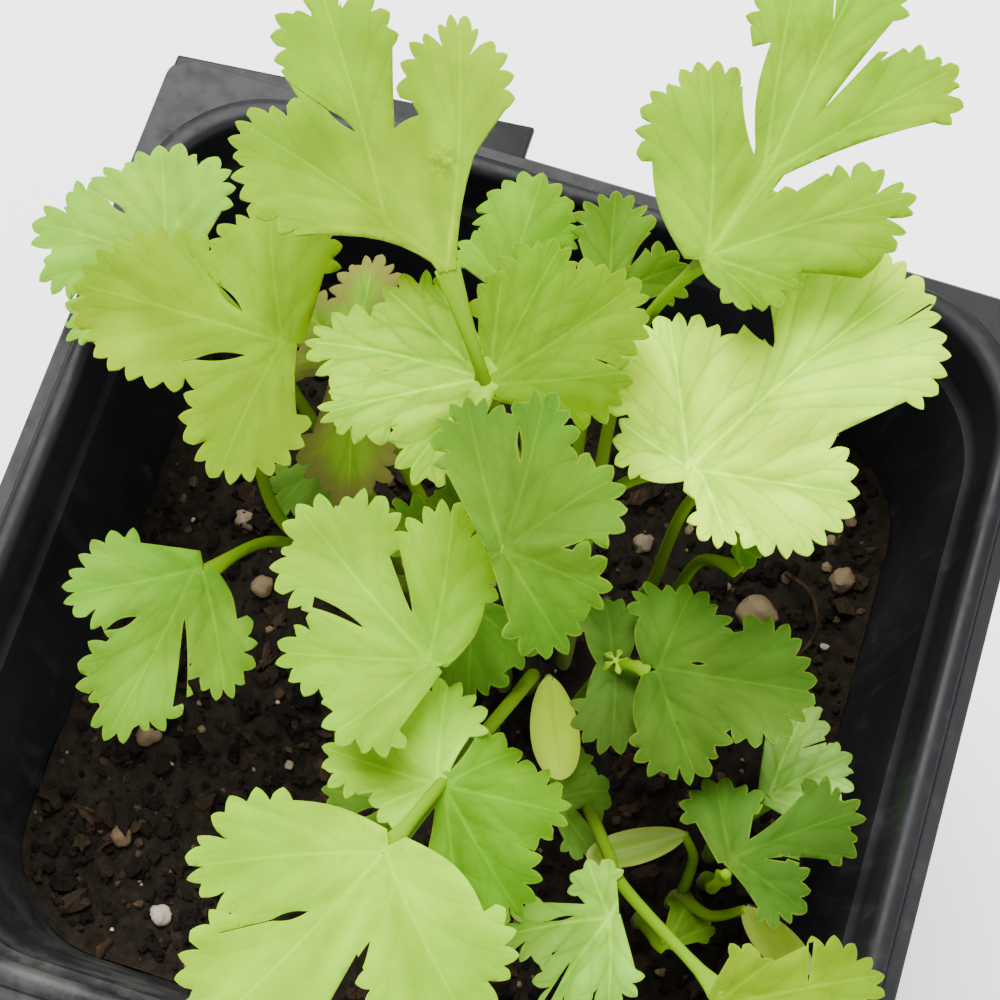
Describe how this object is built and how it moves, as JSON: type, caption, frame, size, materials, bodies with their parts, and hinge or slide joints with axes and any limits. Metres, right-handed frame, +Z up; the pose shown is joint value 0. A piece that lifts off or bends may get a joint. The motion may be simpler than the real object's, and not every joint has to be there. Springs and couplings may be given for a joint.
{
  "type": "coriander plant in a pot",
  "caption": "Young coriander seedlings with lobed, toothed leaves on thin stalks, growing from dark soil in a square black plastic nursery pot with a beaded rim.",
  "frame": {"origin": "centre of the pot's flat bottom face", "axes": "+Z up, out of the pot's mouth; +Y to the pot side farthest from the viewer; +X to the right; the pot's sides lie along X and Y"},
  "size_m": [0.0997, 0.1127, 0.1141],
  "materials": {
    "pot": "black injection-moulded polypropylene, satin, dusty inside",
    "soil": "moist dark potting compost with pale grit and bark crumbs",
    "leaf": "thin soft leaf, satin, yellow-green to mid green with paler veins",
    "old_leaf": "ageing leaf, yellow-green with a reddish edge",
    "seed_leaf": "smooth pale seed leaf, satin"
  },
  "bodies": {
    "root": {"pot": "pot", "soil": "soil", "frond_tall": "leaf", "frond_front": "leaf", "leaf_back_right": "leaf", "leaf_right": "leaf", "leaf_centre": "leaf", "leaf_mid_left": "leaf", "leaf_left": "leaf", "leaf_far_left": "leaf", "leaf_old": "old_leaf", "leaf_back_small": "leaf", "leaf_back_mid": "leaf", "leaf_low_left": "leaf", "frond_low_right": "leaf", "leaf_corner": "leaf", "leaf_corner_pale": "leaf", "frond_corner": "leaf", "leaf_front_small": "leaf", "leaf_shade_left": "leaf", "leaf_shade_front": "leaf", "leaf_shade_back": "leaf", "leaf_shade_mid": "leaf", "leaf_under_right": "leaf", "leaf_under_right_low": "leaf", "leaf_tiny": "leaf", "seedling_centre": "seed_leaf", "seedling_front": "seed_leaf"}
  },
  "joints": []
}
